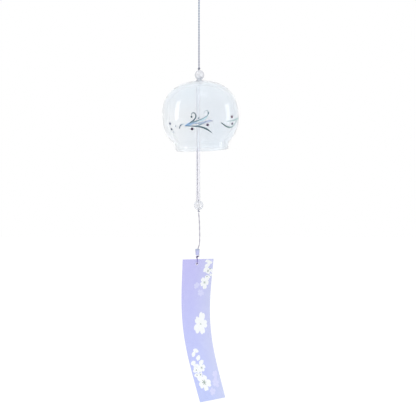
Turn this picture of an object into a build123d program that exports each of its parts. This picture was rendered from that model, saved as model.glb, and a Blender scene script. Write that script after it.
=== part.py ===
from build123d import *
import math
import os

# Glass wind bell on a cord: a blown bell, a glass tube as its clapper, glass beads and a paper strip.
# Frame in millimetres: +Z up, +X to the right and +Y to the back as the bell is seen from the front.
# The origin is where a hook carries the hanging loop, at the inside of the loop's top.

# Driving dimensions: the cord
thread_diameter = 0.85
cord_diameter = 1.7
loop_height = 26.0
loop_width = 7.8
loop_top_width = 4.6
loop_shoulder = 4.0
loop_foot_width = 1.8
hanging_length = 75.3
seat_gap = 0.3
thread_clearance = 0.15
arc_share = 0.45

# Driving dimensions: the knots, each across its wraps
loop_knot_size = 3.8
bead_knot_size = 3.1
stop_knot_size = 5.2
lower_knot_size = 2.7
strip_knot_size = 3.0
knot_wrap_lean = 32.0
knot_wrap_share = 0.2
knot_core_share = 0.43
knot_tail_length = 3.4
knot_tail_lean = 80.0

# Driving dimensions: the glass beads
top_bead_diameter = 10.0
top_bead_bore = 3.2
top_bead_offset = 0.5
lower_bead_diameter = 9.6
lower_bead_bore = 2.2
lower_bead_offset = -0.35
bore_bevel = 0.35

# Driving dimensions: the blown bell, about its own axis
bell_radius = 40.0
crown_height = 38.3
shoulder_radius = 30.0
shoulder_from_angle = 9.0
shoulder_to_angle = 69.0
skirt_depth = 26.75
glass_wall = 1.2
lip_radius = 28.0
lip_height = 6.8
lip_taper = 0.5
lip_blend = 5.0
crown_hole = 4.4
crown_glass = 2.6
collar_diameter = 7.0
collar_bead = 1.1
bell_lean = 2.6
bell_seat_gap = 0.5

# Driving dimensions: the clapper tube
tube_diameter = 4.3
tube_bore = 2.7
tube_length = 117.5
tube_drop = 1.3
tube_offset = -0.95
tube_end_bevel = 0.25
tube_thread_entry = -0.5
tube_thread_top_bend = 3.0
tube_thread_foot_bend = 6.0

# Driving dimensions: the strip's thread, two strands side by side; its route is chosen by hand
# as sideways places and drops below the lower knot
strip_cord_diameter = 1.3
strip_cord_sideways = (-0.35, 0.1, 0.6, 0.75, 0.65, 0.4, -1.15, -1.65, -1.95)
strip_cord_drops = (1.5, 6.5, 15.0, 25.5, 31.3, 35.2, 38.8, 42.3, 45.9)

# Driving dimensions: the sleeve bead
sleeve_drop = 39.2
sleeve_diameter = 4.5
sleeve_foot_diameter = 3.8
sleeve_bore = 2.6
sleeve_length = 6.8
sleeve_bevel = 0.3
sleeve_offset = -1.6

# Driving dimensions: the paper strip
strip_width = 35.0
strip_length = 148.0
paper_thickness = 0.4
strip_offset = -2.1
strip_hole = 3.0
strip_hole_margin = 4.9
strip_hole_offset = -1.1
strip_top_drop = 2.3
strip_top_angle = 24.0
strip_full_angle = 48.0
strip_turn_length = 100.0
strip_top_lean = -8.8
strip_foot_lean = 23.0
curl_start = 9.0
curl_length = 114.0
strip_loop_spread = 1.9
strip_sections = 10
curl_steps = 60


def at_distance(reach, half_width):
    """How far apart two centres are along Z when a ball of this reach rests on a ring."""
    return math.sqrt(reach**2 - half_width**2)


def knot_reach(size):
    """How far a knot reaches above and below its middle."""
    return size * knot_core_share


# Heights, worked out from the hook downwards
loop_knot_z = -loop_height - knot_reach(loop_knot_size)
cord_top_z = loop_knot_z - knot_reach(loop_knot_size) - seat_gap
bead_knot_z = cord_top_z - hanging_length
top_bead_z = (
    bead_knot_z
    - knot_reach(bead_knot_size)
    - seat_gap
    - at_distance(top_bead_diameter / 2, top_bead_bore / 2)
)
collar_z = top_bead_z - at_distance(top_bead_diameter / 2 + bell_seat_gap, crown_hole / 2)
hole_foot_z = collar_z - crown_glass
stop_knot_z = hole_foot_z - at_distance(stop_knot_size / 2 + seat_gap, crown_hole / 2)
tube_top_z = stop_knot_z - knot_reach(stop_knot_size) - tube_drop
tube_foot_z = tube_top_z - tube_length
lower_bead_z = tube_foot_z - at_distance(lower_bead_diameter / 2 + seat_gap, tube_bore / 2)
lower_knot_z = (
    lower_bead_z
    - at_distance(lower_bead_diameter / 2, lower_bead_bore / 2)
    - seat_gap
    - knot_reach(lower_knot_size)
)

# The bell's own heights
shoulder_z = collar_z - collar_bead
widest_z = shoulder_z - crown_height
lip_top_z = widest_z - skirt_depth
rim_z = lip_top_z - lip_height

# The strip's own heights
sleeve_top_z = lower_knot_z - sleeve_drop
sleeve_foot_z = sleeve_top_z - sleeve_length
strip_knot_z = sleeve_foot_z - seat_gap - knot_reach(strip_knot_size)
strip_top_z = strip_knot_z - strip_top_drop


def tube_along(path, diameter):
    """A round tube swept along a route of straight runs and tangent arcs."""
    section = Plane(origin=path @ 0, z_dir=path % 0) * Circle(diameter / 2)
    return sweep(section, path=path)


def fair_radii(points):
    """The arc for each corner of a route: a share of its shorter run over the half turn's tangent."""
    radii = []
    for before, corner, after in zip(points, points[1:], points[2:]):
        run_in = Vector(*corner) - Vector(*before)
        run_out = Vector(*after) - Vector(*corner)
        half_turn = math.radians(run_in.get_angle(run_out) / 2)
        radii.append(arc_share * min(run_in.length, run_out.length) / math.tan(half_turn))
    return radii


def corded(name, points, diameter):
    """A cord's tube along a route; prints its arcs and compares its volume with section times length."""
    radii = fair_radii(points)
    path = FilletPolyline(*points, radius=radii)
    tube = tube_along(path, diameter)
    expected = math.pi * (diameter / 2) ** 2 * path.length
    print(f"{name}: length {path.length:.1f}, radii {[round(r, 1) for r in radii]}")
    print(f"{name}: volume over section times length {tube.volume / expected:.4f}")
    return tube


def knot(size, position, lean):
    """A pulled-tight knot: a core with a leaning wrap of thread round it."""
    wrap = size * knot_wrap_share
    return Pos(*position) * (Sphere(knot_reach(size)) + Rot(0, lean, 0) * Torus(size / 2 - wrap, wrap))


def bead(diameter, bore, position):
    """A ball bead drilled through along Z, with the hole's edges taken off."""
    ball = Sphere(diameter / 2) - Cylinder(bore / 2, diameter)
    mouths = ball.edges().filter_by(GeomType.CIRCLE)
    return Pos(*position) * chamfer(mouths, bore_bevel)


def hanging_loop():
    """The single thread over the hook, from the knot and back to it."""
    thread = thread_diameter
    top = thread / 2
    foot = -loop_height
    route = [
        (-loop_foot_width / 2, 0, foot - thread),
        (-loop_width / 2, 0, top - loop_shoulder),
        (-loop_top_width / 2, 0, top),
        (loop_top_width / 2, 0, top),
        (loop_width / 2, 0, top - loop_shoulder),
        (loop_foot_width / 2, 0, foot - thread),
    ]
    return corded("hanging_loop", route, thread)


def hanging_cord():
    """Two threads twisted together, taut from the loop knot to the bead knot."""
    radius = cord_diameter / 2
    length = hanging_length - radius
    run = Pos(0, 0, bead_knot_z + length / 2) * Cylinder(radius, length)
    return run + Pos(0, 0, cord_top_z - radius) * Sphere(radius)


def neck_cord():
    """The cord through the top bead and the crown hole, into the stop knot."""
    top = bead_knot_z - knot_reach(bead_knot_size) - seat_gap
    length = top - stop_knot_z
    return Pos(0, 0, top - length / 2) * Cylinder(cord_diameter / 2, length)


def crown_outline(radius, height, shoulder):
    """The crown from its widest place to the axis: a side, a shoulder and a top arc, each tangent to the next."""
    start, end = math.radians(shoulder_from_angle), math.radians(shoulder_to_angle)
    across = radius - shoulder * (math.cos(start) - math.cos(end))
    up = height - shoulder * (math.sin(end) - math.sin(start))
    side_across, side_up = 1 - math.cos(start), math.sin(start)
    top_across, top_up = math.cos(end), 1 - math.sin(end)
    scale = side_across * top_up - top_across * side_up
    side_radius = (across * top_up - up * top_across) / scale
    top_radius = (up * side_across - across * side_up) / scale
    side = JernArc((radius, widest_z), (0, 1), side_radius, shoulder_from_angle)
    bend = JernArc(side @ 1, side % 1, shoulder, shoulder_to_angle - shoulder_from_angle)
    top = JernArc(bend @ 1, bend % 1, top_radius, math.degrees(math.pi / 2 - end))
    return [side, bend, top]


def bell_bulk(wall):
    """Half of the bell's bulk as a face, stepped in by wall: crown, skirt and lip down to the rim."""
    crown = crown_height
    foot_z = rim_z
    if wall:
        crown = crown_height - crown_glass + collar_bead
        foot_z = rim_z - wall
    lip = lip_radius - wall
    crown_lines = crown_outline(bell_radius - wall, crown, shoulder_radius - wall)
    narrowing = bell_radius - lip_radius
    bow = (narrowing**2 + skirt_depth**2) / (2 * narrowing)
    middle = bell_radius - bow
    turn = math.degrees(math.acos((lip - middle) / (bow - wall)))
    skirt_line = CenterArc((middle, widest_z), bow - wall, -turn, turn)
    foot = (lip - lip_taper, foot_z)
    lip_line = Line(skirt_line @ 0, foot)
    base = Line(foot, (0, foot_z))
    axis = Line((0, foot_z), crown_lines[-1] @ 1)
    half = make_face([*crown_lines, skirt_line, lip_line, base, axis])
    bend = half.vertices().sort_by_distance(skirt_line @ 0)[0]
    return fillet(bend, lip_blend)


def glass_bell():
    """The blown bell: thin glass, thicker round the hole, with a straight lip and a cut rim."""
    collar = Pos(collar_diameter / 2 - collar_bead, shoulder_z) * Circle(collar_bead)
    hole = Pos(0, shoulder_z) * Rectangle(crown_hole, crown_height)
    section = bell_bulk(0) - bell_bulk(glass_wall) + collar - hole
    leaning = Pos(0, 0, hole_foot_z) * Rot(0, -bell_lean, 0) * Pos(0, 0, -hole_foot_z)
    return leaning * revolve(Plane.XZ * section, Axis.Z)


def clapper_tube():
    """The glass clapper tube, the edges of its cut ends taken off."""
    tube = Cylinder(tube_diameter / 2, tube_length) - Cylinder(tube_bore / 2, tube_length)
    ends = tube.edges().filter_by(GeomType.CIRCLE)
    tube = chamfer(ends, tube_end_bevel)
    return Pos(tube_offset, 0, (tube_top_z + tube_foot_z) / 2) * tube


def clapper_cord():
    """The thread from the stop knot down one wall of the tube and through the lower bead."""
    wall = tube_offset - tube_bore / 2 + thread_diameter / 2 + thread_clearance
    top = stop_knot_z - knot_reach(stop_knot_size) - seat_gap
    route = [
        (tube_thread_entry, 0, top),
        (wall, 0, tube_top_z - tube_thread_top_bend),
        (wall, 0, tube_foot_z + tube_thread_foot_bend),
        (lower_bead_offset, 0, tube_foot_z),
        (lower_bead_offset, 0, lower_knot_z),
    ]
    return corded("clapper_cord", route, thread_diameter)


def strip_cord():
    """The strip's thread, from the lower knot into the sleeve bead."""
    route = [
        (sideways, 0, lower_knot_z - drop)
        for sideways, drop in zip(strip_cord_sideways, strip_cord_drops)
    ]
    return corded("strip_cord", route, strip_cord_diameter)


def sleeve_bead():
    """The short tapered tube bead that hides the strip's thread just above its knot."""
    body = chamfer(Cone(sleeve_foot_diameter / 2, sleeve_diameter / 2, sleeve_length).edges(), sleeve_bevel)
    sleeve = body - Cylinder(sleeve_bore / 2, sleeve_length)
    return Pos(sleeve_offset, 0, (sleeve_top_z + sleeve_foot_z) / 2) * sleeve


def strip_knot():
    """The knot under the sleeve bead, with the thread's cut end standing out to the right."""
    ball = knot(strip_knot_size, (0, 0, 0), -knot_wrap_lean)
    tail = Rot(0, knot_tail_lean, 0) * Pos(0, 0, knot_tail_length / 2)
    tail = tail * Cylinder(thread_diameter / 2, knot_tail_length)
    return Pos(strip_offset, 0, strip_knot_z) * (ball + tail)


def eased(share):
    """A smooth rise from 0 to 1."""
    share = min(max(share, 0), 1)
    return share * share * (3 - 2 * share)


def strip_frame(along):
    """The strip's width direction and downward direction at a length along it."""
    turn = strip_full_angle - (strip_full_angle - strip_top_angle) * math.exp(-along / strip_turn_length)
    lean = strip_top_lean
    lean += (strip_foot_lean - strip_top_lean) * eased((along - curl_start) / curl_length)
    turn, lean = math.radians(turn), math.radians(lean)
    across = Vector(math.cos(turn), math.sin(turn), 0)
    forward = Vector(math.sin(turn), -math.cos(turn), 0)
    down = forward * math.sin(lean) - Vector(0, 0, math.cos(lean))
    return across, down


def strip_point(along):
    """The middle of the strip at a length along it, before it is hung by its hole."""
    point = Vector(0, 0, 0)
    for step in range(curl_steps):
        across, down = strip_frame(along * (step + 0.5) / curl_steps)
        point += down * (along / curl_steps)
    return point


def strip_hole_place():
    """The strip's directions at its hole, the hole's middle as drawn, and the shift that hangs the strip."""
    across, down = strip_frame(strip_hole_margin)
    drawn = strip_point(strip_hole_margin) + across * strip_hole_offset
    return across, down, drawn, Vector(strip_offset - drawn.X, -drawn.Y, strip_top_z)


def paper_strip():
    """The paper strip, curled and a little twisted by the wind and its own grain."""
    sections = []
    for step in range(strip_sections):
        along = strip_length * step / (strip_sections - 1)
        across, down = strip_frame(along)
        place = Plane(origin=strip_point(along), x_dir=across, z_dir=down)
        sections.append(place * Rectangle(strip_width, paper_thickness))
    strip = loft(sections)
    across, down, drawn, shift = strip_hole_place()
    punch = Plane(origin=drawn, x_dir=across, z_dir=across.cross(down))
    strip = strip - punch * Cylinder(strip_hole / 2, strip_width / 2)
    return Pos(shift) * strip


def thread_loop():
    """The thread through the strip's hole: down its face, through, and up its back to the knot."""
    across, down, drawn, shift = strip_hole_place()
    depth = across.cross(down) * (strip_loop_spread / 2)
    middle = drawn + shift - down * (strip_hole / 2 - thread_diameter / 2 - thread_clearance)
    top_z = strip_knot_z - strip_knot_size / 2 - seat_gap
    rise = down * ((top_z - middle.Z) / down.Z)
    route = [middle + depth + rise, middle + depth, middle - depth, middle - depth + rise]
    return corded("thread_loop", [tuple(place) for place in route], thread_diameter)


pieces = {
    "hanging_loop": hanging_loop(),
    "loop_knot": knot(loop_knot_size, (0, 0, loop_knot_z), knot_wrap_lean),
    "hanging_cord": hanging_cord(),
    "bead_knot": knot(bead_knot_size, (0, 0, bead_knot_z), -knot_wrap_lean),
    "neck_cord": neck_cord(),
    "stop_knot": knot(stop_knot_size, (0, 0, stop_knot_z), knot_wrap_lean),
    "top_bead": bead(top_bead_diameter, top_bead_bore, (top_bead_offset, 0, top_bead_z)),
    "glass_bell": glass_bell(),
    "clapper_tube": clapper_tube(),
    "clapper_cord": clapper_cord(),
    "lower_bead": bead(lower_bead_diameter, lower_bead_bore, (lower_bead_offset, 0, lower_bead_z)),
    "lower_knot": knot(lower_knot_size, (lower_bead_offset, 0, lower_knot_z), knot_wrap_lean),
    "strip_cord": strip_cord(),
    "sleeve_bead": sleeve_bead(),
    "strip_knot": strip_knot(),
    "paper_strip": paper_strip(),
    "thread_loop": thread_loop(),
}

os.makedirs("parts", exist_ok=True)
for name, piece in pieces.items():
    export_step(piece, f"parts/{name}.step")
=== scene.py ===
import math

import bpy
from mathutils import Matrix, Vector


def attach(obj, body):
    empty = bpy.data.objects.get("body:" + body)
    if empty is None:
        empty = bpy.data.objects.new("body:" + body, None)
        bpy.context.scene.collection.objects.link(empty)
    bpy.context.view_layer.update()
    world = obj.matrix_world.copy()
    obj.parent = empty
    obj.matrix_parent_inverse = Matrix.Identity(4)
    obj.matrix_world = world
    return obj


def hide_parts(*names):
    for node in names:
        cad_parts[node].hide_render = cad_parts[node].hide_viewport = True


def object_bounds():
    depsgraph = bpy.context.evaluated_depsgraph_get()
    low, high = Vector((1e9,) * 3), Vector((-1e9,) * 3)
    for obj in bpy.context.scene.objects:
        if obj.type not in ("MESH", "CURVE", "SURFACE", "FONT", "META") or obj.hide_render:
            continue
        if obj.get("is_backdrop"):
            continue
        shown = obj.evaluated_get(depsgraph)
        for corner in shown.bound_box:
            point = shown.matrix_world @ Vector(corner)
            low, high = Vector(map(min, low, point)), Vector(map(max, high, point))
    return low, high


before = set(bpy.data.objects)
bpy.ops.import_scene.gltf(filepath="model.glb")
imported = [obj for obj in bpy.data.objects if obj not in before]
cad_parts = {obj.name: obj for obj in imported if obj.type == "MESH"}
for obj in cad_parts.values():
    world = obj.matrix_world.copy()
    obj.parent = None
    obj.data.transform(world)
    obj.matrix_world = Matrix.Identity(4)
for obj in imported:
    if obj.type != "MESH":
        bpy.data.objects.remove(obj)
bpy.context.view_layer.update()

mm = 0.001
view_settings = bpy.context.scene.view_settings
view_settings.view_transform = "Standard"


# The camera: straight on and level, a little right of the cord, as the bell was photographed.
# A long lens from just under a metre away, so the strip's foot is seen almost without a slant.
def newest(name):
    """The object that was added last, under this name."""
    bpy.context.object.name = name
    return bpy.context.object


bpy.ops.object.camera_add(location=(0.00936, -0.95, -0.2496), rotation=(math.pi / 2, 0, 0))
camera = newest("camera")
camera.data.sensor_width = 36
camera.data.lens = 79.05
bpy.context.scene.camera = camera


# The studio: a white room, a pale painted floor well under the strip, and soft window-like lamps.
# The room is plain white to the camera, in the glass and through it; it lights the object a little less.
def colour(code):
    """An sRGB colour written as six hex digits, in linear values."""
    values = [int(code[place:place + 2], 16) / 255 for place in (0, 2, 4)]
    return (*[v / 12.92 if v <= 0.04045 else ((v + 0.055) / 1.055) ** 2.4 for v in values], 1)


def node(owner, kind, inputs=None, **settings):
    """Adds a shader node: its settings, and for each input a value, a colour's digits or its socket."""
    made = owner.node_tree.nodes.new(kind)
    for name, value in settings.items():
        setattr(made, name, value)
    for name, value in (inputs or {}).items():
        if isinstance(value, bpy.types.NodeSocket):
            owner.node_tree.links.new(value, made.inputs[name])
        else:
            made.inputs[name].default_value = colour(value) if isinstance(value, str) else value
    return made


def empty_material(name):
    """A material with no nodes yet."""
    material = bpy.data.materials.new(name)
    material.use_nodes = True
    material.node_tree.nodes.clear()
    return material


def seen_directly(owner):
    """1 for a ray from the camera, off a glossy surface or through glass, and 0 for every other."""
    rays = node(owner, "ShaderNodeLightPath")
    seen = rays.outputs["Is Camera Ray"]
    for ray in ("Is Glossy Ray", "Is Transmission Ray"):
        seen = node(owner, "ShaderNodeMath", {0: seen, 1: rays.outputs[ray]}, operation="MAXIMUM").outputs[0]
    return seen


room = bpy.data.worlds.new("white room")
bpy.context.scene.world = room
room.use_nodes = True
room.node_tree.nodes.clear()
room_light = node(room, "ShaderNodeBackground", {"Color": "FFFFFF", "Strength": 0.85})
room_seen = node(room, "ShaderNodeBackground", {"Color": "FFFFFF", "Strength": 1.0})
room_mix = node(room, "ShaderNodeMixShader",
                {0: seen_directly(room), 1: room_light.outputs[0], 2: room_seen.outputs[0]})
node(room, "ShaderNodeOutputWorld", {"Surface": room_mix.outputs[0]})

floor_height = -0.62
floor_width = 14.0
floor_paint = empty_material("matt white floor paint")
# the floor is brightened where it is seen, so that it runs into the white room without an edge
lift = node(floor_paint, "ShaderNodeMath", {0: seen_directly(floor_paint), 1: 0.72}, operation="MULTIPLY")
matt = node(floor_paint, "ShaderNodeBsdfDiffuse", {"Color": "F7F7F7"})
glow = node(floor_paint, "ShaderNodeEmission", {"Color": "FFFFFF", "Strength": 1.15})
floor_mix = node(floor_paint, "ShaderNodeMixShader",
                 {0: lift.outputs[0], 1: matt.outputs[0], 2: glow.outputs[0]})
node(floor_paint, "ShaderNodeOutputMaterial", {"Surface": floor_mix.outputs[0]})
bpy.ops.mesh.primitive_plane_add(size=floor_width, location=(0, floor_width / 4, floor_height))
studio_floor = newest("studio_floor")
studio_floor.data.materials.append(floor_paint)
studio_floor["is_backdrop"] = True

lamps = (
    ("left_window", (-1.70, -0.50, 0.20), (0.45, 1.2), 3.6),
    ("right_window", (1.80, 0.00, -0.10), (0.50, 1.2), 3.6),
    ("top_lamp", (0.1, -0.9, 1.5), (0.9, 0.9), 9.0),
)
lamp_aim = Vector((0, 0, -0.2))
for name, place, size, power in lamps:
    bpy.ops.object.light_add(type="AREA", location=place)
    lamp = newest(name)
    lamp.data.shape = "RECTANGLE"
    lamp.data.size, lamp.data.size_y = size
    lamp.data.energy = power
    lamp.rotation_euler = (lamp_aim - Vector(place)).to_track_quat("-Z", "Y").to_euler()
    lamp.visible_glossy = name != "top_lamp"


# The hanging cord: a blue-grey spun cotton cord of two plies laid together, 1.7 mm across.
# It is taut from the knot on the top bead up to the knot of its loop, just above the view.
def piece_material(name):
    """A material with no nodes but one for the coordinates of its piece, and those coordinates."""
    material = empty_material(name)
    return material, node(material, "ShaderNodeTexCoord").outputs


def share_between(material, axis, start, end):
    """How far a place in the piece is from start to end on an axis, in metres: 0 before and 1 past it."""
    coords = node(material, "ShaderNodeTexCoord").outputs
    parts = node(material, "ShaderNodeSeparateXYZ", {"Vector": coords["Object"]})
    return node(material, "ShaderNodeMapRange",
                {"Value": parts.outputs[axis], "From Min": start, "From Max": end}).outputs[0]


def finish(material, height, strength, depth, look, shade=None):
    """Gives a material its surface: the look's values, and a height that stands out, depth in metres.
    Glass also has a shade: the colour that lamp light takes on its straight way through."""
    relief = node(material, "ShaderNodeBump", {"Height": height, "Strength": strength, "Distance": depth})
    surface = node(material, "ShaderNodeBsdfPrincipled", {**look, "Normal": relief.outputs[0]})
    if shade:
        lit_through = node(material, "ShaderNodeBsdfTransparent", {"Color": shade})
        rays = node(material, "ShaderNodeLightPath")
        surface = node(material, "ShaderNodeMixShader",
                       {0: rays.outputs["Is Shadow Ray"], 1: surface.outputs[0], 2: lit_through.outputs[0]})
    node(material, "ShaderNodeOutputMaterial", {"Surface": surface.outputs[0]})


cotton_thread, coords = piece_material("dull spun cotton, blue grey")
# cotton shows as a matt, slightly hairy surface; its fibre is drawn at 0.25 mm so that it shows at all,
# and the handled end by the bead has turned from blue grey to mauve
fibre = node(cotton_thread, "ShaderNodeTexNoise",
             {"Vector": coords["Object"], "Scale": 4000.0, "Detail": 3.0, "Roughness": 0.6})
down_share = share_between(cotton_thread, "Z", -0.04, -0.105)
dye = node(cotton_thread, "ShaderNodeMix", {0: down_share, 6: "8797AC", 7: "8E889C"}, data_type="RGBA")
fibre_tone = node(cotton_thread, "ShaderNodeMix",
                  {0: fibre.outputs["Fac"], 6: dye.outputs[2], 7: "B0B8C8"}, data_type="RGBA")
finish(cotton_thread, fibre.outputs["Fac"], 0.5, 0.0001,
       {"Base Color": fibre_tone.outputs[2], "Roughness": 0.85, "Sheen Weight": 0.3, "IOR": 1.46})


def in_metres(places):
    """Points given in millimetres, as vectors in metres."""
    return [Vector(place) * mm for place in places]


def pick(*pieces):
    """Selects these pieces alone, the first of them as the active one."""
    bpy.ops.object.select_all(action="DESELECT")
    for piece in pieces:
        piece.select_set(True)
    bpy.context.view_layer.objects.active = pieces[0]


def add_line(curve, places):
    """Adds a smooth open line to a curve, with these places as its control points."""
    line = curve.splines.new("NURBS")
    line.points.add(len(places) - 1)
    for point, place in zip(line.points, places):
        point.co = (*place, 1)
    line.order_u = 3
    line.use_endpoint_u = True


def read_line(places):
    """The points of the smooth line that these control points draw, in order from its start."""
    curve = bpy.data.curves.new("line", "CURVE")
    curve.dimensions = "3D"
    curve.resolution_u = 24
    add_line(curve, places)
    line = bpy.data.objects.new("line", curve)
    bpy.context.collection.objects.link(line)
    mesh = bpy.data.meshes.new_from_object(line)
    read = [vertex.co.copy() for vertex in mesh.vertices]
    bpy.data.meshes.remove(mesh)
    bpy.data.objects.remove(line)
    return read


def spaced(points, spacing):
    """The same line as points a set distance apart, its two ends kept."""
    even = [points[0].copy()]
    left = spacing
    for start, end in zip(points, points[1:]):
        run = (end - start).length
        along = left
        while along < run:
            even.append(start.lerp(end, along / run))
            along += spacing
        left = along - run
    if (points[-1] - even[-1]).length < spacing / 2:
        even.pop()
    even.append(points[-1].copy())
    return even


def thread_mesh(name, curve, material):
    """Turns a thread drawn as a thick curve into a smooth mesh of its material."""
    drawn = bpy.data.objects.new(name, curve)
    bpy.context.collection.objects.link(drawn)
    pick(drawn)
    bpy.ops.object.convert(target="MESH")
    bpy.ops.object.shade_smooth()
    made = bpy.context.object
    made.data.materials.clear()
    made.data.materials.append(material)
    return made


def laid_plies(name, points, across, plies, lay_length, material):
    """Plies of thread laid round a line, as one mesh: across is the finished width."""
    ply_radius, orbit = across * 0.29, across * 0.2
    even = spaced(points, lay_length / 14)
    strands = bpy.data.curves.new(name, "CURVE")
    strands.dimensions = "3D"
    strands.bevel_depth = ply_radius
    strands.bevel_resolution = 2
    strands.use_fill_caps = True
    splines = []
    for ply in range(plies):
        spline = strands.splines.new("POLY")
        spline.points.add(len(even) - 1)
        splines.append(spline)
    side = Vector((0, 1, 0))
    travelled = 0
    for index, point in enumerate(even):
        ahead = even[min(index + 1, len(even) - 1)] - even[max(index - 1, 0)]
        ahead.normalize()
        side = (side - ahead * side.dot(ahead)).normalized()
        if index:
            travelled += (point - even[index - 1]).length
        for ply, spline in enumerate(splines):
            turn = math.tau * (travelled / lay_length + ply / plies)
            out = side * math.cos(turn) + ahead.cross(side) * math.sin(turn)
            spline.points[index].co = (*(point + out * orbit), 1)
    return thread_mesh(name, strands, material)


cord_across, cord_lay = 1.7, 5.6
bead_knot_height, cord_top = -104.868, -29.568
cord_route = in_metres([(0, 0, bead_knot_height), (0, 0, -67.2), (0, 0, cord_top)])
cord_line = read_line(cord_route)
cord_plies = laid_plies("cord_plies", cord_line, cord_across * mm, 2, cord_lay * mm, cotton_thread)
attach(cord_plies, "cord")
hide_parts("hanging_cord")


# The hanging loop: one thinner thread of the same cotton, tied to itself; the hook carries its top.
# It stands just above the view, so its shape is the usual narrow loop of such a bell.
thread_across = 0.85
loop_sides = ((0.9, -26.85), (3.9, -3.575), (2.3, 0.425))
loop_route = [(-across, 0, up) for across, up in loop_sides]
loop_route += [(across, 0, up) for across, up in reversed(loop_sides)]
loop_line = read_line(in_metres(loop_route))
loop_plies = laid_plies("loop_plies", loop_line, thread_across * mm, 2, 2.6 * mm, cotton_thread)
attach(loop_plies, "hook_loop")
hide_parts("hanging_loop")


# The two knots of the hanging cord: one closes the loop, one sits on the top bead and pulls dark.
# Each is the cord itself passed through its own turn and drawn tight.
knot_thread, coords = piece_material("cotton pulled tight and dark in a knot")
# the tight turns are coloured darker and less hairy than the cord: painted shade of the knot,
# and from the strip's knot down it is a darker plum violet: the thread in the punched hole and its painted
# shade
fibre = node(knot_thread, "ShaderNodeTexNoise", {"Vector": coords["Object"], "Scale": 3500.0, "Detail": 3.0})
# painted shade: the knot's tight turns are coloured darker
knot_shade_tone = node(knot_thread, "ShaderNodeMix",
                {0: fibre.outputs["Fac"], 6: "5E6172", 7: "868A9E"}, data_type="RGBA")
near_strip = share_between(knot_thread, "Z", -0.2992, -0.3008)
# painted shade of the punched hole: plum violet from the strip's knot down
plum_and_hole_shade = node(knot_thread, "ShaderNodeMix",
               {0: near_strip, 6: knot_shade_tone.outputs[2], 7: "6A58A0"}, data_type="RGBA")
finish(knot_thread, fibre.outputs["Fac"], 0.4, 0.0001,
       {"Base Color": plum_and_hole_shade.outputs[2], "Roughness": 0.8, "Sheen Weight": 0.2, "IOR": 1.46})


def tied_knot(name, centre, size, lean, material, tail=None):
    """An overhand knot drawn tight, size across: a thread that goes through its own turn, and a tail."""
    ring, wrap, thread, points = size * 0.21, size * 0.13, size * 0.155, 36
    knotted = bpy.data.curves.new(name, "CURVE")
    knotted.dimensions = "3D"
    knotted.bevel_depth = thread
    knotted.bevel_resolution = 3
    spline = knotted.splines.new("NURBS")
    spline.points.add(points - 1)
    spline.use_cyclic_u = True
    spline.order_u = 4
    tilt = math.radians(lean)
    for index, point in enumerate(spline.points):
        turn = math.tau * index / points
        out = ring + wrap * math.cos(3 * turn)
        across, depth = out * math.cos(2 * turn), out * math.sin(2 * turn)
        up = 1.35 * wrap * math.sin(3 * turn)
        leaned_x = across * math.cos(tilt) + up * math.sin(tilt)
        leaned_z = up * math.cos(tilt) - across * math.sin(tilt)
        point.co = (centre[0] + leaned_x, centre[1] + depth, centre[2] + leaned_z, 1)
    if tail:
        add_line(knotted, tail)
        knotted.use_fill_caps = True
    return thread_mesh(name, knotted, material)


loop_knot_height = -27.634
knot_lean = 32
loop_knot_place = Vector((0, 0, loop_knot_height)) * mm
loop_knot = tied_knot("tied_loop_knot", loop_knot_place, 3.8 * mm, knot_lean, cotton_thread)
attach(loop_knot, "hook_loop")
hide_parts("loop_knot")
bead_knot = tied_knot("tied_bead_knot", cord_route[0], 3.1 * mm, -knot_lean, knot_thread)
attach(bead_knot, "cord")
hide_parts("bead_knot")


# The neck cord: the same two plies, on through the top bead and the hole in the crown.
# Under the hole it ends in the stop knot, a bigger knot that carries the whole bell.
pale_thread, coords = piece_material("pale mauve-grey cotton thread")
# the thin threads are paler than the cord, in their own colour and partly as painted light for the light that
# comes through their loose fibres; above the bell's rim they are painted almost white: painted light
fibre = node(pale_thread, "ShaderNodeTexNoise", {"Vector": coords["Object"], "Scale": 4000.0, "Detail": 3.0})
pale_dye = node(pale_thread, "ShaderNodeMix",
                {0: fibre.outputs["Fac"], 6: "A8A4B4", 7: "C4C2CE"}, data_type="RGBA")
# painted light: above the bell's rim the thread is painted almost white
thread_below_bell = share_between(pale_thread, "Z", -0.182, -0.194)
thread_tone_and_light = node(pale_thread, "ShaderNodeMix",
                   {0: thread_below_bell, 6: "FAF9FF", 7: pale_dye.outputs[2]}, data_type="RGBA")
finish(pale_thread, fibre.outputs["Fac"], 0.4, 0.00008,
       {"Base Color": thread_tone_and_light.outputs[2], "Roughness": 0.85, "Sheen Weight": 0.3, "IOR": 1.46})

stop_knot_height = -120.768
neck_route = in_metres([(0, 0, -106.5), (0, 0, -113.6), (0, 0, stop_knot_height)])
neck_plies = laid_plies("neck_plies", read_line(neck_route), cord_across * mm, 2, cord_lay * mm, pale_thread)
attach(neck_plies, "neck")
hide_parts("neck_cord")
stop_knot = tied_knot("tied_stop_knot", neck_route[-1], 5.0 * mm, knot_lean, pale_thread)
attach(stop_knot, "neck")
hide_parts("stop_knot")


# The glass bell: soda-lime glass blown free-hand in one bubble, 80 mm wide and about 1.2 mm thick.
# The mouth is cut and lightly ground; the crown has a drilled hole with a thick rounded edge.
# heights are measured from the foot of the crown hole, where the bell hangs on its knot
hole_foot = -118.879
bell_radius, bell_lean = 40, -2.6
bell_widest, bell_shoulder = -155.679 - hole_foot, -117.379 - hole_foot
glass_wall, thicker_crown = 1.2, 0.3
skirt_radius, skirt_middle, skirt_turn = 35.815, 4.185, 48.33
lip_corner = (28.0, bell_widest - 26.75)
lip_foot = (27.5, bell_widest - 33.55)
lip_blend_reach, lip_blend_steps = 2.15, 6
# each bow of the crown has its radius, and the angles where it starts and ends
crown_bows = ((71.82, 0, 9), (30.0, 9, 69), (56.47, 69, 86.5))
bow_step = 3.5
collar_centre, collar_radius = (2.4, bell_shoulder), 1.1
hole_radius = 2.2
rim_round = 0.3


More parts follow.
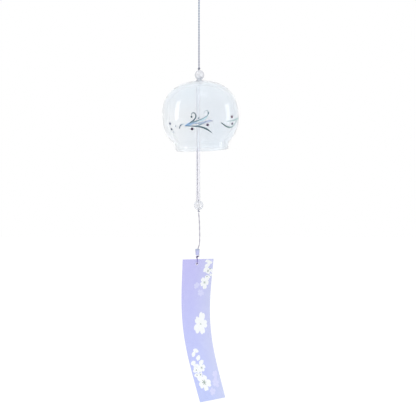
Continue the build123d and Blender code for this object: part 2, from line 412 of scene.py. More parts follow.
def bow(middle, radius, start, end, count):
    """Points on a circle's arc from one angle to another, in degrees."""
    angles = [math.radians(start + (end - start) * step / count) for step in range(count + 1)]
    return [(middle[0] + radius * math.cos(a), middle[1] + radius * math.sin(a)) for a in angles]


def spun(name, section, steps, material):
    """A closed section, as (across, up) in millimetres, spun round the upright axis."""
    bpy.ops.mesh.primitive_circle_add(vertices=len(section), radius=1, fill_type="NOTHING")
    made = newest(name)
    for vertex, (across, up) in zip(made.data.vertices, section):
        vertex.co = (across * mm, 0, up * mm)
    bpy.ops.object.mode_set(mode="EDIT")
    bpy.ops.mesh.select_all(action="SELECT")
    bpy.ops.mesh.spin(steps=steps, angle=math.tau, center=(0, 0, 0), axis=(0, 0, 1))
    bpy.ops.mesh.select_all(action="SELECT")
    bpy.ops.mesh.remove_doubles(threshold=0.000001)
    bpy.ops.mesh.normals_make_consistent(inside=False)
    bpy.ops.object.mode_set(mode="OBJECT")
    bpy.ops.object.shade_smooth_by_angle(angle=math.radians(40))
    made.data.materials.append(material)
    return made


def settle(piece, place, lean=0):
    """Sets a piece at its place, leaned about the depth axis, and leaves the place in its mesh."""
    pick(piece)
    piece.rotation_euler = (0, math.radians(lean), 0)
    piece.location = Vector(place) * mm
    bpy.ops.object.transform_apply(location=True, rotation=True, scale=True)


crown_points = []
middle = (bell_radius - crown_bows[0][0], bell_widest)
for radius, start, end in crown_bows:
    if crown_points:
        angle = math.radians(start)
        last_across, last_up = crown_points[-1]
        middle = (last_across - radius * math.cos(angle), last_up - radius * math.sin(angle))
    count = max(4, int((end - start) / bow_step))
    crown_points += bow(middle, radius, start, end, count)[bool(crown_points):]
skirt_points = bow((skirt_middle, bell_widest), skirt_radius, -skirt_turn, 0, 18)
down_lip = (Vector(lip_foot) - Vector(lip_corner)).normalized() * lip_blend_reach
up_skirt = (Vector(skirt_points[1]) - Vector(skirt_points[0])).normalized() * lip_blend_reach
lip_points = []
for step in range(lip_blend_steps + 1):
    share = step / lip_blend_steps
    low = Vector(lip_corner) + down_lip * (1 - share)
    high = Vector(lip_corner) + up_skirt * share
    lip_points.append(tuple(low.lerp(high, share)))
rim_across, rim_up = lip_foot
outside = [(rim_across + 0.03, rim_up + rim_round), (rim_across + 0.18, rim_up + 2.4)]
outside += lip_points + skirt_points[2:] + crown_points[1:]
inside = []
for index, (across, up) in enumerate(outside):
    before, after = outside[max(index - 1, 0)], outside[min(index + 1, len(outside) - 1)]
    ahead = (Vector(after) - Vector(before)).normalized()
    wall = glass_wall + thicker_crown * (1 - min(across / bell_radius, 1)) ** 2
    inside.append((across - ahead.y * wall, up + ahead.x * wall))
inside = [spot for spot in reversed(inside) if spot[0] > hole_radius + 0.6][:-1]
rim = [(rim_across - 1.17, rim_up + rim_round), (rim_across - 0.9, rim_up), (rim_across - 0.27, rim_up)]
collar = bow(collar_centre, collar_radius, 2, 100, 10)
hole = [(hole_radius, bell_shoulder + 0.4), (hole_radius, bell_shoulder - 0.6), (hole_radius + 0.15, 0)]

bell_glass, coords = piece_material("hand blown soda-lime glass, faint blue")
# free-blown glass is clear with a breath of blue, painted a shade whiter where the wall is seen edge on
# (painted light);
# its surface has long soft waves and a few milky, warmer and cyan patches,
# and its lower left is painted almost white: painted light
waves = node(bell_glass, "ShaderNodeTexNoise",
             {"Vector": coords["Object"], "Scale": 45.0, "Detail": 1.0, "Distortion": 0.4})
cloud = node(bell_glass, "ShaderNodeTexNoise", {"Vector": coords["Object"], "Scale": 28.0, "Detail": 2.0})
tint = node(bell_glass, "ShaderNodeMix",
            {0: cloud.outputs["Fac"], 6: "F3FAFF", 7: "FBFCFF"}, data_type="RGBA")
left_share = share_between(bell_glass, "X", 0.018, -0.024)
low_share = share_between(bell_glass, "Z", -0.135, -0.155)
# painted light: the lower left is painted almost white
lower_left_light = node(bell_glass, "ShaderNodeMath", {0: left_share, 1: low_share}, operation="MULTIPLY")
with_lower_left_light = node(bell_glass, "ShaderNodeMix",
               {0: lower_left_light.outputs[0], 6: tint.outputs[2], 7: "FDFEFF"}, data_type="RGBA")
# painted light: a shade whiter where the wall is seen edge on
edge_on = node(bell_glass, "ShaderNodeLayerWeight", {"Blend": 0.28})
with_edge_light = node(bell_glass, "ShaderNodeMix",
            {0: edge_on.outputs["Facing"], 6: with_lower_left_light.outputs[2], 7: "FBFDFF"}, data_type="RGBA")
finish(bell_glass, waves.outputs["Fac"], 0.25, 0.0008,
       {"Base Color": with_edge_light.outputs[2], "Roughness": 0.02, "IOR": 1.5, "Transmission Weight": 0.75}, "F4F8FC")

blown_bell = spun("blown_bell", outside + collar + hole + inside + rim, 96, bell_glass)
# no bubble is quite round: it is drawn in by up to 0.4 %, differently all round and up its height
for vertex in blown_bell.data.vertices:
    around = math.atan2(vertex.co.y, vertex.co.x)
    height = vertex.co.z / mm
    breath = 0.5 + 0.25 * math.sin(2 * around + height / 17) + 0.25 * math.sin(3 * around - height / 11 + 1.3)
    drawn_in = 1 - 0.004 * breath * min(1, math.hypot(vertex.co.x, vertex.co.y) / (20 * mm))
    vertex.co.x *= drawn_in
    vertex.co.y *= drawn_in
settle(blown_bell, (0, 0, hole_foot), bell_lean)
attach(blown_bell, "bell")
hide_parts("glass_bell")


# The painting on the glass: a common vine scroll with curled tendrils and berries, in thin enamel.
# It is brushed on by hand: each stroke is a low ridge of paint that thins out to its tip.
def joined(name, pieces):
    """Joins pieces into the first of them, under this name."""
    pick(*pieces)
    bpy.ops.object.join()
    return newest(name)


def on_glass(around, drop):
    """A place on the bell, from degrees to the right of its front and mm below its shoulder."""
    up = bell_shoulder - drop
    for (low_across, low), (high_across, high) in zip(outside, outside[1:]):
        if low <= up <= high:
            across = low_across + (high_across - low_across) * (up - low) / max(high - low, 0.001)
            break
    turn, lean = math.radians(around), math.radians(bell_lean)
    right, back = across * math.sin(turn), -across * math.cos(turn)
    height = up * math.cos(lean) - right * math.sin(lean) + hole_foot
    return Vector((right * math.cos(lean) + up * math.sin(lean), back, height)) * mm


def glass_sides(around, drop):
    """The directions round, up and out of the glass at a place on it."""
    here = on_glass(around, drop)
    round_it = (on_glass(around + 0.2, drop) - here).normalized()
    up_it = (on_glass(around, drop - 0.2) - here).normalized()
    return here, round_it, up_it, round_it.cross(up_it).normalized()


enamel, coords = piece_material("thin glass enamel, brushed")
# enamel is satin and a little see-through, its colour streaked along and across the stroke
own_tone = node(enamel, "ShaderNodeAttribute", attribute_name="tone")
streak = node(enamel, "ShaderNodeTexNoise", {"Vector": coords["Object"], "Scale": 1100.0, "Detail": 3.0})
streaked = node(enamel, "ShaderNodeMix",
                {0: streak.outputs["Fac"], 6: own_tone.outputs["Color"], 7: "DCE6EE"},
                data_type="RGBA", blend_type="MULTIPLY")
finish(enamel, streak.outputs["Fac"], 0.3, 0.00005,
       {"Base Color": streaked.outputs[2], "Roughness": 0.4, "IOR": 1.5})


def set_tones(piece, tones):
    """Gives each vertex of a piece its own colour, under the name tone."""
    layer = piece.data.attributes.new("tone", "FLOAT_COLOR", "POINT")
    for spot, tone in zip(layer.data, tones):
        spot.color = tone


stroke_step = 0.9
paint_height, edge_height, skin_thickness = 0.14, 0.03, 0.1
thinnest_share = 0.14


def stroke(spots, widest, root, tip, fullest, root_width):
    """A brush stroke through spots on the glass: its width in mm, its colours at root and tip, the share
    of its length where it is widest, and the share of that width at its root."""
    line = spaced(read_line([Vector((around, drop, 0)) for around, drop in spots]), stroke_step)
    rows, columns = len(line) - 1, 4
    bpy.ops.mesh.primitive_grid_add(x_subdivisions=rows, y_subdivisions=columns, size=1)
    made = bpy.context.object
    tones = []
    root_tone, tip_tone = Vector(colour(root)), Vector(colour(tip))
    for vertex in made.data.vertices:
        row, column = round((vertex.co.x + 0.5) * rows), (vertex.co.y + 0.5) * 2 - 1
        share = row / rows
        here, round_it, up_it, out = glass_sides(line[row].x, line[row].y)
        last, coming = line[max(row - 1, 0)], line[min(row + 1, rows)]
        ahead = (on_glass(coming.x, coming.y) - on_glass(last.x, last.y)).normalized()
        swell = root_width + (1 - root_width) * min(share / fullest, 1)
        thin = min((1 - share) / (1 - fullest), 1) ** 0.6
        half = widest / 2 * swell * max(thin, thinnest_share)
        crown = paint_height * (1 - column * column) * (0.4 + 0.6 * thin)
        vertex.co = here + (out.cross(ahead) * column * half + out * (crown + edge_height)) * mm
        tones.append(root_tone.lerp(tip_tone, share))
    set_tones(made, tones)
    paint_skin = made.modifiers.new("paint", "SOLIDIFY")
    paint_skin.thickness = skin_thickness * mm
    paint_skin.offset = -1
    bpy.ops.object.modifier_apply(modifier="paint")
    bpy.ops.object.mode_set(mode="EDIT")
    bpy.ops.mesh.select_all(action="SELECT")
    bpy.ops.mesh.normals_make_consistent(inside=False)
    bpy.ops.object.mode_set(mode="OBJECT")
    bpy.ops.object.shade_smooth()
    made.data.materials.append(enamel)
    return made


def paint_drop(spot, radius, tone, tall):
    """A berry or dot: a drop of enamel that has set as a low dome on the glass."""
    here, round_it, up_it, out = glass_sides(*spot)
    bpy.ops.mesh.primitive_uv_sphere_add(segments=20, ring_count=10, radius=1)
    made = bpy.context.object
    dome = 0.3 * radius
    for vertex in made.data.vertices:
        across, up, high = vertex.co
        vertex.co = here + (round_it * across * radius + up_it * up * radius * tall + out * high * dome) * mm
    set_tones(made, [colour(tone)] * len(made.data.vertices))
    bpy.ops.object.shade_smooth()
    made.data.materials.append(enamel)
    return made


# three pale washes, then the left spray's stems and fork, the right sprig and the curl at the left
painting = [
    stroke([(-24.5, 49.3), (-17, 47.8), (-10, 46.6), (-4.5, 46.0)],
           3.4, "8DB6E6", "CDE2F4", 0.4, 0.3),
    stroke([(-4.0, 45.6), (1.5, 45.0), (7.5, 42.9), (10.5, 41.0)],
           2.6, "CFE8F2", "D6ECF2", 0.5, 0.3),
    stroke([(2.0, 48.0), (8.0, 46.6), (13.5, 45.6), (18.0, 45.4)],
           2.2, "D2DCF0", "C6C8E0", 0.6, 0.3),
    stroke([(-23.2, 49.3), (-15.2, 46.9), (-8.6, 43.8), (-6.0, 40.8), (-7.4, 37.4), (-11.0, 36.6),
            (-13.4, 38.6), (-12.9, 41.3)], 1.6, "56707E", "4C6064", 0.3, 0.4),
    stroke([(-23.2, 49.3), (-12.8, 46.9), (-0.5, 44.3), (5.6, 42.6), (11.6, 39.6), (11.8, 35.8),
            (8.0, 34.6), (5.2, 37.4)], 1.5, "56727E", "A9BEC6", 0.3, 0.5),
    stroke([(-18.6, 48.3), (-10.0, 47.3), (-1.1, 47.8), (6.4, 46.5), (13.8, 45.4), (19.1, 46.4)],
           1.3, "A8C2E0", "8F94B0", 0.6, 0.3),
    stroke([(-23.3, 49.4), (-9.8, 50.2), (-0.6, 51.0), (7.1, 52.9), (12.9, 55.0), (18.3, 57.4)],
           1.8, "5C8090", "4E6468", 0.75, 0.35),
    stroke([(-7.2, 50.0), (-1.8, 49.3), (4.1, 47.8), (10.8, 46.6)],
           1.1, "7FA0AC", "98A2B8", 0.4, 0.5),
    stroke([(32.4, 47.6), (38.9, 50.2), (48.2, 51.9), (56.5, 51.6), (62.3, 48.8), (68.0, 45.0),
            (78.0, 40.9)], 1.5, "4E5E66", "A8CCC4", 0.3, 0.6),
    stroke([(41.8, 46.1), (50.4, 45.7), (60.9, 44.4), (76.5, 40.8)],
           1.3, "C2D8D8", "8CB6AE", 0.6, 0.3),
    stroke([(-34.9, 50.6), (-32.4, 48.2), (-27.3, 47.2), (-22.2, 47.4)],
           1.1, "66727E", "CFE0F0", 0.3, 0.6),
]
# berries, dots and the blobs where a brush was lifted: place, radius, colour and height by width
for spot, radius, tone, tall in (
    ((-14.0, 52.8), 1.6, "421F40", 0.85),
    ((10.3, 49.6), 1.35, "54405E", 1.0),
    ((53.2, 41.2), 1.5, "6A3A52", 1.0),
    ((55.9, 48.0), 1.35, "4E3650", 0.9),
    ((-52.6, 45.3), 1.45, "666E84", 0.9),
    ((-52.4, 51.0), 1.5, "525C6A", 0.75),
    ((-50.4, 53.9), 1.3, "A4ACBC", 0.5),
    ((-41.2, 48.6), 0.8, "9CA6B6", 1.0),
    ((-2.8, 42.5), 0.8, "84949E", 1.0),
    ((-34.6, 50.7), 0.8, "66727E", 1.0),
    ((-31.8, 48.4), 0.8, "6E7A88", 1.0),
    ((-12.9, 40.9), 1.0, "4C6064", 1.0),
    ((11.7, 37.9), 0.7, "708A90", 1.7),
):
    painting.append(paint_drop(spot, radius, tone, tall))
painted_vine = joined("painted_vine", painting)
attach(painted_vine, "bell")


# The two glass beads: milky lampworked balls with a wide bore, one on the crown, one under the tube.
# Each is wound from rod glass, so it has soft swirls, and its bore edges are ground off.
bead_glass, coords = piece_material("lampworked milky glass, grey towards its rim")
# a solid ball bends the room strongly: a bright middle, painted greyer towards its rim (painted shade), with
# soft swirls
swirl = node(bead_glass, "ShaderNodeTexNoise",
             {"Vector": coords["Object"], "Scale": 260.0, "Detail": 1.5, "Distortion": 1.5})
# painted shade: greyer towards the rim
edge_on = node(bead_glass, "ShaderNodeLayerWeight", {"Blend": 0.35})
ball_tint_and_rim_shade = node(bead_glass, "ShaderNodeMix",
                 {0: edge_on.outputs["Facing"], 6: "FDFDFF", 7: "B4BAC8"}, data_type="RGBA")
finish(bead_glass, swirl.outputs["Fac"], 0.1, 0.0003,
       {"Base Color": ball_tint_and_rim_shade.outputs[2], "Roughness": 0.05, "IOR": 1.5, "Transmission Weight": 0.45},
       "E9EEF4")


bead_steps = 48
bead_line = -0.35


def ball_section(radius, bore):
    """Half of a drilled ball, from the radii of ball and bore: its round, then its bore, edges ground."""
    edge_across, edge_up = 0.3, 0.35
    mouth = math.degrees(math.acos((bore + edge_across) / radius))
    ball = bow((0, 0), radius, -mouth, mouth, 28)
    top = ball[-1][1]
    return ball + [(bore, up) for up in (top - edge_up, top * 0.3, -top * 0.3, -top + edge_up)]


crown_bead = spun("crown_bead", ball_section(5.0, 1.6), bead_steps, bead_glass)
settle(crown_bead, (0.5, 0, -111.238))
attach(crown_bead, "top_bead")
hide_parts("top_bead")
end_bead = spun("end_bead", ball_section(4.8, 1.1), bead_steps, bead_glass)
settle(end_bead, (bead_line, 0, -246.722))
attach(end_bead, "lower_bead")
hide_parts("lower_bead")


# The clapper tube: a length of drawn clear glass tube, 4.3 mm outside and 2.7 mm inside.
# It was scored, snapped and flame-rounded at both ends, and hangs loose on its thread.
tube_glass, coords = piece_material("drawn clear glass tube")
# drawn tube shows two grey side lines and a bright middle, with faint lines along its draw;
# the grey side lines are painted shade below the bell's rim, and inside the bell the sides are painted white:
# painted light
draw_lines = node(tube_glass, "ShaderNodeMapping",
                  {"Vector": coords["Object"], "Scale": (900.0, 900.0, 12.0)})
drawn = node(tube_glass, "ShaderNodeTexNoise", {"Vector": draw_lines.outputs[0], "Scale": 1.0, "Detail": 1.0})
# painted light above the bell's rim; below it the grey side lines are painted shade
below_the_bell = share_between(tube_glass, "Z", -0.182, -0.194)
side_light_and_shade = node(tube_glass, "ShaderNodeMix", {0: below_the_bell, 6: "FFFFFF", 7: "A4A4B4"}, data_type="RGBA")
edge_on = node(tube_glass, "ShaderNodeLayerWeight", {"Blend": 0.4})
tube_tint_and_side_shade = node(tube_glass, "ShaderNodeMix",
                 {0: edge_on.outputs["Facing"], 6: "FCFCFF", 7: side_light_and_shade.outputs[2]}, data_type="RGBA")
finish(tube_glass, drawn.outputs["Fac"], 0.05, 0.0001,
       {"Base Color": tube_tint_and_side_shade.outputs[2], "Roughness": 0.02, "IOR": 1.5, "Transmission Weight": 1.0},
       "EDF2F7")

half_length, outer_radius, bore_radius, end_round = 58.75, 2.15, 1.35, 0.25
round_up = half_length - end_round
tube_top = bow((outer_radius - end_round, round_up), end_round, 0, 90, 4)
tube_top += bow((bore_radius + end_round, round_up), end_round, 90, 180, 4)
tube_foot = [(across, -up) for across, up in reversed(tube_top)]
heights = (40, 20, 0, -20, -40)
bore_wall = [(bore_radius, up) for up in heights]
outer_wall = [(outer_radius, -up) for up in heights]
glass_rod = spun("glass_rod", tube_top + bore_wall + tube_foot + outer_wall, 40, tube_glass)
settle(glass_rod, (-0.95, 0, -183.054))
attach(glass_rod, "clapper_tube")
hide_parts("clapper_tube")


# The clapper thread: one thin cotton thread from the stop knot down the left wall of the tube.
# It runs on through the lower bead and ends in the knot that carries bead and tube.
end_knot_height = -252.856
wall_line = -1.725
clapper_route = in_metres([
    (-0.5, 0, -123.304), (wall_line, 0, -127.304), (wall_line, 0, -235.804), (bead_line, 0, -241.804),
    (bead_line, 0, end_knot_height),
])
clapper_line = read_line(clapper_route)
clapper_thread = laid_plies("clapper_thread", clapper_line, thread_across * mm, 2, 9.0 * mm, pale_thread)
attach(clapper_thread, "clapper")
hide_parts("clapper_cord")
end_knot = tied_knot("tied_end_knot", clapper_route[-1], 2.7 * mm, knot_lean, cotton_thread)
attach(end_knot, "clapper")
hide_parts("lower_knot")


# The strip's thread: two thin mauve-grey strands that lie loosely side by side, 1.3 mm in all.
# It hangs from the knot under the bead, bows a little, and slips into the sleeve bead.
strip_thread_route = in_metres([
    (bead_line, 0, -254.356), (0.1, 0, -259.356), (0.6, 0, -267.856), (0.75, 0, -278.356),
    (0.65, 0, -284.156), (0.4, 0, -288.056), (-1.15, 0, -291.656), (-1.65, 0, -295.156),
    (-1.95, 0, -298.756),
])
strip_thread_line = read_line(strip_thread_route)
strip_strands = laid_plies("strip_strands", strip_thread_line, 1.3 * mm, 2, 13 * mm, pale_thread)
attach(strip_strands, "strip_cord")
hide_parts("strip_cord")


# The sleeve bead: a short tube of translucent lavender plastic, cut a little conical, 4.5 mm wide.
# It slides on the thread and hides where the two strands are tied off above the strip.
sleeve_plastic, coords = piece_material("translucent lavender acrylic tube")
# acrylic lets a little light into its wall; it is lavender, painted darker at the sides where they are seen
# edge on (painted shade), and grey blue at its top
haze = node(sleeve_plastic, "ShaderNodeTexNoise", {"Vector": coords["Object"], "Scale": 350.0, "Detail": 2.0})
edge_on = node(sleeve_plastic, "ShaderNodeLayerWeight", {"Blend": 0.35})
lavender = node(sleeve_plastic, "ShaderNodeMix",
                {0: haze.outputs["Fac"], 6: "C8CCF6", 7: "D2D4FA"}, data_type="RGBA")
under_top = share_between(sleeve_plastic, "Z", -0.2924, -0.2945)
grey_top = node(sleeve_plastic, "ShaderNodeMix",
            {0: under_top, 6: "B4C0D6", 7: lavender.outputs[2]}, data_type="RGBA")
# painted shade: darker where the sides are seen edge on
sleeve_tone_and_side_shade = node(sleeve_plastic, "ShaderNodeMix",
                   {0: edge_on.outputs["Facing"], 6: grey_top.outputs[2], 7: "787CAA"}, data_type="RGBA")
plastic = node(sleeve_plastic, "ShaderNodeBsdfPrincipled",
               {"Base Color": sleeve_tone_and_side_shade.outputs[2], "Roughness": 0.3, "IOR": 1.49,
                "Transmission Weight": 0.12})
node(sleeve_plastic, "ShaderNodeOutputMaterial", {"Surface": plastic.outputs[0]})

sleeve_section = [
    (1.6, -3.4), (1.3, -3.1), (1.3, 0), (1.3, 3.1), (1.6, 3.4), (1.95, 3.4), (2.15, 3.3), (2.24, 3.1),
    (2.07, 0), (1.9, -3.1), (1.83, -3.3), (1.65, -3.4),
]
lavender_sleeve = spun("lavender_sleeve", sleeve_section, 40, sleeve_plastic)
settle(lavender_sleeve, (-1.6, 0, -295.456))
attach(lavender_sleeve, "strip_tie")
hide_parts("sleeve_bead")
strip_line, strip_knot_height = -2.1, -300.446
tail = in_metres([
    (strip_line, 0, strip_knot_height), (-1.2, -0.3, -300.3), (-0.4, -0.3, -299.9), (0.3, -0.2, -299.35),
])
strip_tie_knot = tied_knot("tied_strip_knot", tail[0], 2.9 * mm, -knot_lean, knot_thread, tail)
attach(strip_tie_knot, "strip_tie")
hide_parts("strip_knot")


# The paper strip: stout lavender paper, 35 by 148 mm, hung by a punched hole near its top edge.
# The wind and its own grain have turned it a little and curled its foot towards the viewer.
strip_width, strip_length, paper_thickness = 35.0, 148.0, 0.4
hole_across, hole_along, hole_size, hole_height = -1.1, 4.9, 3.0, -302.746
# it turns about its length and leans, in degrees, by amounts that change along these millimetres
top_turn, full_turn, turn_length = 24, 48, 100
top_lean, foot_lean, curl_start, curl_length = -8.8, 23, 9, 114
spine_step = 1.0


def eased(share):
    """A smooth rise from 0 to 1."""
    share = min(max(share, 0), 1)
    return share * share * (3 - 2 * share)


def strip_sides(along):
    """The strip's width direction and its downward direction, so many millimetres from its top."""
    turn = math.radians(full_turn - (full_turn - top_turn) * math.exp(-along / turn_length))
    curl = eased((along - curl_start) / curl_length)
    lean = math.radians(top_lean + (foot_lean - top_lean) * curl)
    width_way = Vector((math.cos(turn), math.sin(turn), 0))
    forward = Vector((math.sin(turn), -math.cos(turn), 0))
    return width_way, forward * math.sin(lean) - Vector((0, 0, math.cos(lean)))


spine = [Vector((0, 0, 0))]
while len(spine) <= strip_length / spine_step + 1:
    spine.append(spine[-1] + strip_sides((len(spine) - 0.5) * spine_step)[1] * spine_step)


def spine_place(along):
    """A place on the strip's middle line, as drawn."""
    index = min(int(along / spine_step), len(spine) - 2)
    return spine[index].lerp(spine[index + 1], along / spine_step - index)


drawn_hole = spine_place(hole_along) + strip_sides(hole_along)[0] * hole_across
hang = Vector((strip_line - drawn_hole.x, -drawn_hole.y, hole_height))


def on_strip(across, along, proud):
    """A place on the strip: mm right of its middle, mm down from its top, mm in front of its mid-plane."""
    width_way, down = strip_sides(along)
    return (spine_place(along) + hang + width_way * across + down.cross(width_way) * proud) * mm


lavender_paper, coords = piece_material("lavender mulberry paper, dip dyed")
# the sheet is matt and soft, cloudy in its dye, lighter and greyer on its right side,
# and crossed by long pale fibres a few tenths wide
mottle = node(lavender_paper, "ShaderNodeTexNoise",
              {"Vector": coords["UV"], "Scale": 5.0, "Detail": 4.0, "Roughness": 0.6})
fibre_way = node(lavender_paper, "ShaderNodeMapping",
                 {"Vector": coords["UV"], "Scale": (70.0, 14.0, 1.0), "Rotation": (0, 0, 0.5)})
fibres = node(lavender_paper, "ShaderNodeTexNoise",
              {"Vector": fibre_way.outputs[0], "Scale": 1.0, "Detail": 5.0, "Roughness": 0.7,
               "Distortion": 0.6})
tooth = node(lavender_paper, "ShaderNodeTexNoise",
             {"Vector": coords["Object"], "Scale": 2600.0, "Detail": 3.0})
parts_of_uv = node(lavender_paper, "ShaderNodeSeparateXYZ", {"Vector": coords["UV"]})
foot_share = node(lavender_paper, "ShaderNodeMapRange",
                  {"Value": parts_of_uv.outputs["Y"], "From Max": strip_length / strip_width})
down_dye = node(lavender_paper, "ShaderNodeMix",
                {0: foot_share.outputs[0], 6: "CAC8F6", 7: "C4CFF7"}, data_type="RGBA")
right_share = node(lavender_paper, "ShaderNodeMapRange",
                   {"Value": parts_of_uv.outputs["X"], "From Min": 0.4, "From Max": 1.0, "To Max": 0.75})
lighter_right_side = node(lavender_paper, "ShaderNodeMix",
                {0: right_share.outputs[0], 6: down_dye.outputs[2], 7: "D2D8F0"}, data_type="RGBA")
cloudy = node(lavender_paper, "ShaderNodeMix",
              {0: mottle.outputs["Fac"], 6: "F1F1FA", 7: "FFFFFF"}, data_type="RGBA")
dyed = node(lavender_paper, "ShaderNodeMix", {0: 1.0, 6: lighter_right_side.outputs[2], 7: cloudy.outputs[2]},
            data_type="RGBA", blend_type="MULTIPLY")
fibre_share = node(lavender_paper, "ShaderNodeMapRange",
                   {"Value": fibres.outputs["Fac"], "From Min": 0.58, "From Max": 0.75, "To Max": 0.35})
fibred = node(lavender_paper, "ShaderNodeMix",
              {0: fibre_share.outputs[0], 6: dyed.outputs[2], 7: "E2E2FC"}, data_type="RGBA")
paper_height = node(lavender_paper, "ShaderNodeMath",
                    {0: fibres.outputs["Fac"], 1: tooth.outputs["Fac"]}, operation="ADD")
finish(lavender_paper, paper_height.outputs[0], 0.25, 0.0001,
       {"Base Color": fibred.outputs[2], "Roughness": 0.9, "IOR": 1.45, "Sheen Weight": 0.15,
        "Specular IOR Level": 0.3})

bpy.ops.mesh.primitive_grid_add(x_subdivisions=14, y_subdivisions=60, size=1)
wind_strip = newest("wind_strip")
bpy.ops.object.mode_set(mode="EDIT")
bpy.ops.transform.resize(value=(strip_width * mm, strip_length * mm, 1))
bpy.ops.transform.translate(value=(0, -strip_length / 2 * mm, 0))
bpy.ops.object.mode_set(mode="OBJECT")
sheet = wind_strip.modifiers.new("sheet", "SOLIDIFY")
sheet.thickness = paper_thickness * mm
sheet.offset = 0
bpy.ops.object.modifier_apply(modifier="sheet")
bpy.ops.mesh.primitive_cylinder_add(vertices=32, radius=hole_size / 2 * mm, depth=4 * mm,
                                    location=(hole_across * mm, -hole_along * mm, 0))
punch = bpy.context.object
punched = wind_strip.modifiers.new("punched", "BOOLEAN")
punched.object = punch
punched.operation = "DIFFERENCE"
pick(wind_strip)
bpy.ops.object.modifier_apply(modifier="punched")
bpy.data.objects.remove(punch)
sheet_places = wind_strip.data.uv_layers.active or wind_strip.data.uv_layers.new(name="sheet")
for loop in wind_strip.data.loops:
    flat = wind_strip.data.vertices[loop.vertex_index].co
    sheet_places.data[loop.index].uv = (flat.x / (strip_width * mm) + 0.5, -flat.y / (strip_width * mm))
for vertex in wind_strip.data.vertices:
    vertex.co = on_strip(vertex.co.x / mm, -vertex.co.y / mm, vertex.co.z / mm)
bpy.ops.object.shade_smooth_by_angle(angle=math.radians(40))
wind_strip.data.materials.append(lavender_paper)
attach(wind_strip, "strip")
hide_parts("paper_strip")


# The thread loop: a thin thread down the strip's face, through the punched hole and up its back.
# Its ends are caught in the knot above, and a second turn of it lies bunched up in the hole.
loop_spread, bend_height = 1.9, strip_knot_height - 1.8
width_way, down_way = strip_sides(hole_along)
behind = width_way.cross(down_way) * (loop_spread / 2)
hole_place = drawn_hole + hang
hole_top = hole_place - down_way * (hole_size / 2 - thread_across / 2 - 0.15)
rise = down_way * ((bend_height - hole_top.z) / down_way.z)
knot_foot = Vector((strip_line, 0, strip_knot_height - 0.7))
tie_route = in_metres([
    knot_foot + behind * 0.4, hole_top + behind + rise, hole_top + behind,
    hole_top - behind, hole_top - behind + rise, knot_foot - behind * 0.4,
])
through_hole = laid_plies("through_hole", read_line(tie_route), 0.6 * mm, 2, 6.0 * mm, knot_thread)
second_turn = tied_knot("second_turn", hole_place * mm, 2.3 * mm, -knot_lean, knot_thread)
tie_thread = joined("tie_thread", [through_hole, second_turn])
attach(tie_thread, "strip")
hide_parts("thread_loop")


# The blossoms on the strip: common five-petalled cherry blossoms, printed in thick white ink.
# Two sprays run in from the edges and one large blossom stands alone in the middle.
white_ink, coords = piece_material("thick white screen ink on paper")
# the ink is a soft white with a few thin places where the paper's lavender shows through
thin_places = node(white_ink, "ShaderNodeTexNoise",
                   {"Vector": coords["Object"], "Scale": 700.0, "Detail": 4.0, "Roughness": 0.65})
thin_share = node(white_ink, "ShaderNodeMapRange",
                  {"Value": thin_places.outputs["Fac"], "From Min": 0.5, "From Max": 0.85, "To Max": 0.5})
ink_tone = node(white_ink, "ShaderNodeMix",
                {0: thin_share.outputs[0], 6: "F4F7F8", 7: "DCE1F4"}, data_type="RGBA")
finish(white_ink, thin_places.outputs["Fac"], 0.2, 0.0001,
       {"Base Color": ink_tone.outputs[2], "Roughness": 0.7, "IOR": 1.5})


def plain_ink(name, scale, detail, low, high, roughness):
    """A thin printing ink, its tone uneven between two colours."""
    material, coords = piece_material(name)
    uneven = node(material, "ShaderNodeTexNoise",
                  {"Vector": coords["Object"], "Scale": scale, "Detail": detail})
    tone = node(material, "ShaderNodeMix", {0: uneven.outputs["Fac"], 6: low, 7: high}, data_type="RGBA")
    ink = node(material, "ShaderNodeBsdfPrincipled",
               {"Base Color": tone.outputs[2], "Roughness": roughness, "IOR": 1.5})
    node(material, "ShaderNodeOutputMaterial", {"Surface": ink.outputs[0]})
    return material


# a second, thinner printing, hardly lighter than the paper, and small dabs of a dull green-grey
pale_ink = plain_ink("thin lavender-white screen ink", 500.0, 4.0, "D0D2F6", "D9DCFA", 0.8)
stamen_ink = plain_ink("grey-green screen ink", 900.0, 2.0, "8C9C94", "B4C2BA", 0.75)

# one petal, flat, its root at the origin and its notched tip one unit away
bpy.ops.mesh.primitive_circle_add(vertices=24, radius=1, fill_type="NGON")
petal = newest("petal")
for index, vertex in enumerate(petal.data.vertices):
    turn = math.tau * index / 24
    out = 0.5 - 0.5 * math.cos(turn)
    notch = 0.13 * math.exp(-((turn - math.pi) / 0.24) ** 2)
    vertex.co = (0.42 * math.sin(turn) * (0.45 + 0.55 * out), out - notch, 0)
bpy.ops.object.mode_set(mode="EDIT")
bpy.ops.mesh.select_all(action="SELECT")
bpy.ops.mesh.extrude_region_move(TRANSFORM_OT_translate={"value": (0, 0, 1)})
bpy.ops.mesh.inset(thickness=0.1, depth=0.0)
bpy.ops.transform.translate(value=(0, 0, 0.35))
bpy.ops.mesh.select_all(action="SELECT")
bpy.ops.mesh.normals_make_consistent(inside=False)
bpy.ops.object.mode_set(mode="OBJECT")

# one dab of ink, a low dome one unit across
bpy.ops.mesh.primitive_uv_sphere_add(segments=14, ring_count=8, radius=1)
ink_dab = newest("ink_dab")

print_back = paper_thickness / 2 - 0.05
print_edge = strip_width / 2 - 0.15
ink_height, dab_height = 0.09, 1.2
petal_turns, stamen_turns = range(0, 360, 72), range(0, 360, 60)
printed = []


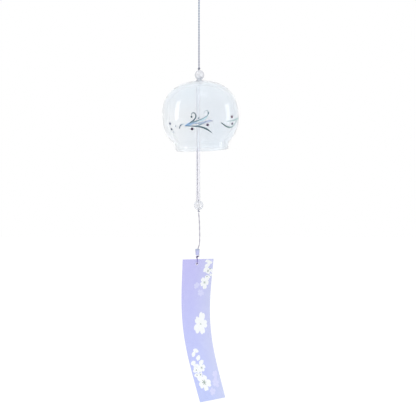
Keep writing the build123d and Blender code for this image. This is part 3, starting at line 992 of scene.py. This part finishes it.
def print_on_strip(shape, across, along, length, width, turn, material, squeeze=(1, 1), raised=0):
    """Prints a copy of a flat shape on the strip's face, turned clockwise from pointing up."""
    made = shape.copy()
    made.data = shape.data.copy()
    bpy.context.collection.objects.link(made)
    angle = math.radians(turn)
    for vertex in made.data.vertices:
        side, out = vertex.co.x * width, vertex.co.y * length
        right = (side * math.cos(angle) + out * math.sin(angle)) * squeeze[0]
        up = (out * math.cos(angle) - side * math.sin(angle)) * squeeze[1]
        proud = print_back + (vertex.co.z + raised) * ink_height
        vertex.co = on_strip(min(max(across + right, -print_edge), print_edge), max(along - up, 0.3), proud)
    made.data.materials.clear()
    made.data.materials.append(material)
    printed.append(made)


def print_dab(across, along, length, width, squeeze=(1, 1)):
    """Prints a dab of stamen ink on top of what is printed already."""
    print_on_strip(ink_dab, across, along, length, width, 0, stamen_ink, squeeze, dab_height)


def blossom(across, along, reach, turn, material, stamens=0, squeeze=(1, 1)):
    """Five petals round a centre, and its stamens, whose size is a share of the petals' reach."""
    for step, petal_turn in enumerate(petal_turns):
        size = reach * (1 + 0.12 * math.sin(2.4 * step + turn))
        print_on_strip(petal, across, along, size, size * 1.12, turn + petal_turn, material, squeeze)
    if stamens:
        centre, ring = reach * stamens, 1.5 * stamens * reach
        for stamen_turn in stamen_turns:
            angle = math.radians(stamen_turn + turn)
            print_dab(across + ring * math.sin(angle), along - ring * math.cos(angle),
                      centre * 0.4, centre * 0.4, squeeze)
        print_dab(across, along, centre, centre * 0.9, squeeze)


def bud(across, along, reach, turn, material):
    """A half-opened bud: three petals close together."""
    for step in (-38, 0, 38):
        print_on_strip(petal, across, along, reach, reach * 1.1, turn + step, material)


# the upper spray, the large blossom, the lower spray and the thin second printing
for spot in (
    (13.0, 5.4, 4.2, 10), (11.6, 8.6, 4.2, -20), (11.0, 12.4, 4.6, -50), (15.4, 13.6, 3.4, 60),
    (12.6, 17.6, 4.2, 190), (15.8, 18.4, 2.8, 20), (10.9, 20.4, 4.0, 160), (10.6, 3.4, 3.0, -15),
):
    bud(*spot, white_ink)
bud(14.8, 2.8, 2.3, 20, pale_ink)
blossom(12.2, 12.8, 3.6, 10, white_ink, 0.2)
blossom(9.3, 25.0, 6.8, 28, white_ink, 0.13, (0.85, 1))
blossom(4.9, 68.6, 10.8, 20, white_ink, 0.05, (0.85, 1.1))
for spot in (
    (-6.8, 97.6, 4.6, 20), (-8.4, 100.2, 4.4, -50), (-6.4, 102.0, 4.4, 130), (-3.6, 106.4, 4.8, 150),
    (-12.2, 109.8, 4.6, -20), (-13.2, 114.0, 4.2, 170), (-12.4, 118.6, 4.6, 180), (-8.8, 119.4, 4.4, 150),
    (-4.6, 104.4, 3.6, -30), (-11.2, 116.4, 3.8, 90),
):
    bud(*spot, white_ink)
blossom(-9.9, 112.8, 5.0, 36, white_ink)
blossom(-3.8, 113.8, 5.2, 0, white_ink, 0.15)
blossom(-5.4, 129.0, 9.0, 30, white_ink, 0.17, (0.95, 1.08))
for spot in ((11.6, 18.8), (14.4, 10.8), (-7.6, 120.8), (-12.2, 120.6), (-11.4, 115.4)):
    print_dab(*spot, 0.7, 0.8)
for spot in ((0.0, 28.0, 3.6, 0), (5.4, 36.2, 4.0, 30), (9.8, 131.0, 5.2, 15), (11.6, 122.4, 4.0, 40),
             (2.6, 139.6, 4.2, 0)):
    blossom(*spot, pale_ink)
bpy.data.objects.remove(petal)
bpy.data.objects.remove(ink_dab)
printed_blossoms = joined("printed_blossoms", printed)
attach(printed_blossoms, "strip")


low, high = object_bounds()
